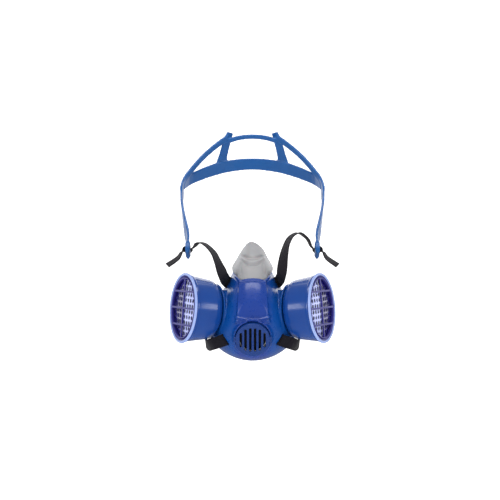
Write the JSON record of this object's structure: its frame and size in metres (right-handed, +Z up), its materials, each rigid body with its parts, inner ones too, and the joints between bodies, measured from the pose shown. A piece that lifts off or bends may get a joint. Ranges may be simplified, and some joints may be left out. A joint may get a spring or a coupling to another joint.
{
  "type": "half mask respirator",
  "caption": "Half mask respirator with a silicone facepiece, a rigid front cover, two round twist-on side filters, a chin exhalation valve, a moulded head cradle and webbing straps.",
  "frame": {"origin": "centre of the face opening, in the plane of the face seal", "axes": "+Z up as worn, +Y towards the wearer, -Y out of the front of the mask, +X to the wearer's left"},
  "size_m": [0.202, 0.218, 0.2789],
  "materials": {
    "grey_silicone": "satin moulded silicone",
    "blue_cover": "glossy moulded polyamide",
    "blue_filter": "glossy moulded ABS",
    "blue_cradle": "satin moulded polyethylene",
    "lavender_ring": "satin moulded ABS",
    "indigo_screen": "dark moulded plastic",
    "dark_plastic": "fine grained moulded plastic",
    "valve_silicone": "smooth thin silicone",
    "black_webbing": "woven webbing",
    "filter_fleece": "pressed fibre fleece",
    "charcoal": "packed charcoal granules"
  },
  "bodies": {
    "mask": {"facepiece": "grey_silicone", "front_cover": "blue_cover", "exhalation_valve_seat": "dark_plastic", "left_port_connector": "dark_plastic", "left_inhalation_valve_seat": "dark_plastic", "left_filter_gasket": "valve_silicone", "left_upper_strap": "black_webbing", "left_upper_keeper": "dark_plastic", "left_lower_strap": "black_webbing", "left_lower_keeper": "dark_plastic", "right_port_connector": "dark_plastic", "right_inhalation_valve_seat": "dark_plastic", "right_filter_gasket": "valve_silicone", "right_upper_strap": "black_webbing", "right_upper_keeper": "dark_plastic", "right_lower_strap": "black_webbing", "right_lower_keeper": "dark_plastic"},
    "left_filter": {"left_filter_housing": "blue_filter", "left_bayonet_collar": "dark_plastic", "left_outlet_screen": "dark_plastic", "left_carbon_bed": "charcoal", "left_particulate_pad": "filter_fleece", "left_inlet_screen": "indigo_screen", "left_inlet_grid": "indigo_screen", "left_inlet_ring": "lavender_ring"},
    "left_inhalation_flap": {"left_inhalation_valve_disc": "valve_silicone"},
    "right_filter": {"right_filter_housing": "blue_filter", "right_bayonet_collar": "dark_plastic", "right_outlet_screen": "dark_plastic", "right_carbon_bed": "charcoal", "right_particulate_pad": "filter_fleece", "right_inlet_screen": "indigo_screen", "right_inlet_grid": "indigo_screen", "right_inlet_ring": "lavender_ring"},
    "right_inhalation_flap": {"right_inhalation_valve_disc": "valve_silicone"},
    "exhalation_flap": {"exhalation_valve_disc": "valve_silicone"},
    "exhalation_cap": {"exhalation_cover": "blue_cover"},
    "cradle": {"head_cradle": "blue_cradle", "left_strap_tail": "black_webbing", "right_strap_tail": "black_webbing"},
    "neck_loop": {"left_neck_strap": "black_webbing", "right_neck_strap": "black_webbing", "neck_clip_hook": "dark_plastic", "neck_clip_loop": "dark_plastic"}
  },
  "joints": [
    {"name": "left_filter_twist", "type": "hinge", "parent": "mask", "child": "left_filter", "pos_m": [0.046, -0.035, -0.0115], "axis": [0.9033, -0.4212, 0.0819], "range_deg": [0, 60]},
    {"name": "left_inhalation_valve_lift", "type": "slide", "parent": "mask", "child": "left_inhalation_flap", "axis": [-0.9033, 0.4212, -0.0819], "range_m": [0, 0.0015], "stiffness_N_per_m": 20, "springref_m": -0.001},
    {"name": "right_filter_twist", "type": "hinge", "parent": "mask", "child": "right_filter", "pos_m": [-0.046, -0.035, -0.0115], "axis": [-0.9033, -0.4212, 0.0819], "range_deg": [0, 60]},
    {"name": "right_inhalation_valve_lift", "type": "slide", "parent": "mask", "child": "right_inhalation_flap", "axis": [0.9033, 0.4212, -0.0819], "range_m": [0, 0.0015], "stiffness_N_per_m": 20, "springref_m": -0.001},
    {"name": "exhalation_valve_lift", "type": "slide", "parent": "mask", "child": "exhalation_flap", "axis": [0, -0.9613, -0.2756], "range_m": [0, 0.0022], "stiffness_N_per_m": 20, "springref_m": -0.0015},
    {"name": "exhalation_cover_pull", "type": "slide", "parent": "mask", "child": "exhalation_cap", "axis": [0, -0.9613, -0.2756], "range_m": [0, 0.014]},
    {"name": "cradle_swing", "type": "hinge", "parent": "mask", "child": "cradle", "pos_m": [0, 0.01, 0.058], "axis": [1, 0, 0], "range_deg": [-35, 25]},
    {"name": "neck_strap_swing", "type": "hinge", "parent": "mask", "child": "neck_loop", "pos_m": [0, -0.0585, -0.0475], "axis": [1, 0, 0], "range_deg": [-35, 0]}
  ]
}
